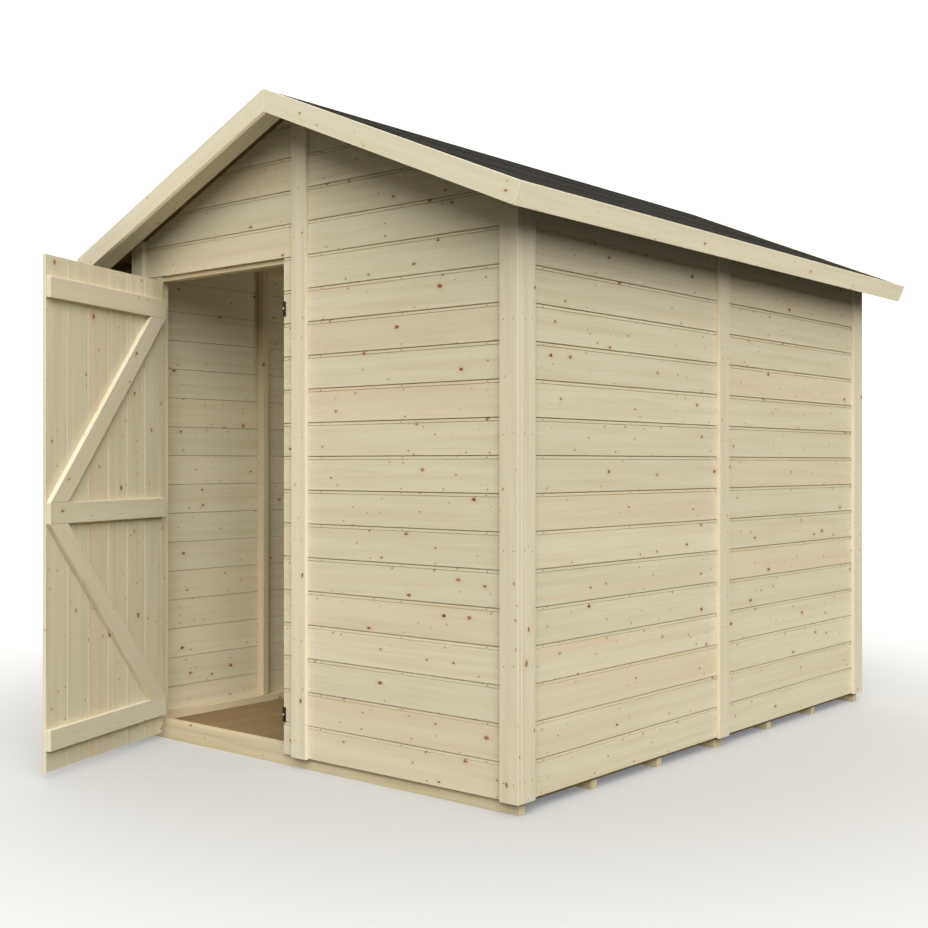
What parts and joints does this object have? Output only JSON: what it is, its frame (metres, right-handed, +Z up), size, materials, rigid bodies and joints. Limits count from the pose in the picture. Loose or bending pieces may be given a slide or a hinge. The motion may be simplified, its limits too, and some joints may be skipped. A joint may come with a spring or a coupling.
{
  "type": "garden shed",
  "caption": "Wooden garden shed with horizontal board cladding, an apex roof covered in felt and a ledged and braced door on side hinges.",
  "frame": {"origin": "on the ground under the middle of the floor, at the underside of the middle bearer", "axes": "+Z up, front with the door at -Y, +X to the right seen from the front"},
  "size_m": [2.104, 3.2099, 2.2375],
  "materials": {
    "cladding": "planed bare softwood boards",
    "trim": "planed bare softwood strips",
    "framing": "sawn softwood framing",
    "floor": "planed softwood floor boards",
    "roof_boards": "sawn softwood boards",
    "felt": "bitumen felt with mineral grit",
    "ironmongery": "black coated steel"
  },
  "bodies": {
    "shed": {"bearers": "framing", "floor": "floor", "front_wall_right": "cladding", "front_wall_beside_door": "cladding", "front_wall_over_door": "cladding", "back_wall_left": "cladding", "back_wall_right": "cladding", "left_wall_front": "cladding", "left_wall_back": "cladding", "right_wall_front": "cladding", "right_wall_back": "cladding", "front_studs": "framing", "back_studs": "framing", "left_studs": "framing", "right_studs": "framing", "bottom_rails_ends": "framing", "bottom_rails_sides": "framing", "top_rails_sides": "framing", "gable_rails_left": "framing", "gable_rails_right": "framing", "door_head": "framing", "cover_strips_ends": "trim", "cover_strips_sides": "trim", "corner_boards_ends": "trim", "corner_boards_sides": "trim", "barge_boards_left": "trim", "barge_boards_right": "trim", "fascia_left": "trim", "fascia_right": "trim", "roof_boards_left": "roof_boards", "roof_boards_right": "roof_boards", "roof_felt": "felt", "overhang_rafters_left": "trim", "overhang_rafters_right": "trim", "roof_rails": "framing", "turn_buttons": "ironmongery", "hinge_leaves": "ironmongery"},
    "door": {"door_boards": "cladding", "ledge_top": "trim", "ledge_middle": "trim", "ledge_bottom": "trim", "brace_upper": "trim", "brace_lower": "trim", "hinge_straps": "ironmongery"}
  },
  "joints": [
    {"name": "door_hinge", "type": "hinge", "parent": "shed", "child": "door", "pos_m": [-0.76425, -1.21, 0.86], "axis": [0, 0, -1], "range_deg": [-70, 80]}
  ]
}
